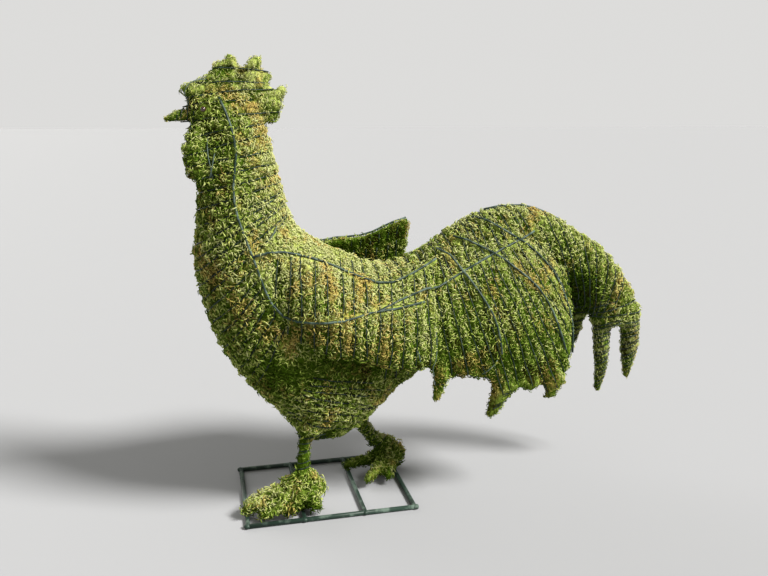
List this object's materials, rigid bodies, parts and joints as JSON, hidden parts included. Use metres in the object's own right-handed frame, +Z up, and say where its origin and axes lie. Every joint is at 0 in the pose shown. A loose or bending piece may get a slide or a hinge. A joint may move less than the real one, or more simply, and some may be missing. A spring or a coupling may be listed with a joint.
{
  "type": "mossed rooster topiary",
  "caption": "Garden ornament: a striding rooster of packed moss on a wire frame, with wrap wires, glossy bead eyes and a flat welded rod base.",
  "frame": {"origin": "on the ground, under the middle of the whole ornament's box", "axes": "+Z up, -X the way the beak points, +X towards the tail, -Y the bird's left side"},
  "size_m": [0.692, 0.2424, 0.6095],
  "materials": {
    "moss": "packed sheet moss, matt and fibrous, yellow green to dark green with brown patches",
    "painted_rod": "steel rod with dark green paint, semi-gloss",
    "eye_bead": "very dark brown bead, high gloss"
  },
  "bodies": {
    "root": {"moss_body": "moss", "base_frame": "painted_rod", "left_frame_rods": "painted_rod", "right_frame_rods": "painted_rod", "right_skirt_rod": "painted_rod", "ridge_rod": "painted_rod", "left_eye": "eye_bead", "right_eye": "eye_bead"}
  },
  "joints": []
}
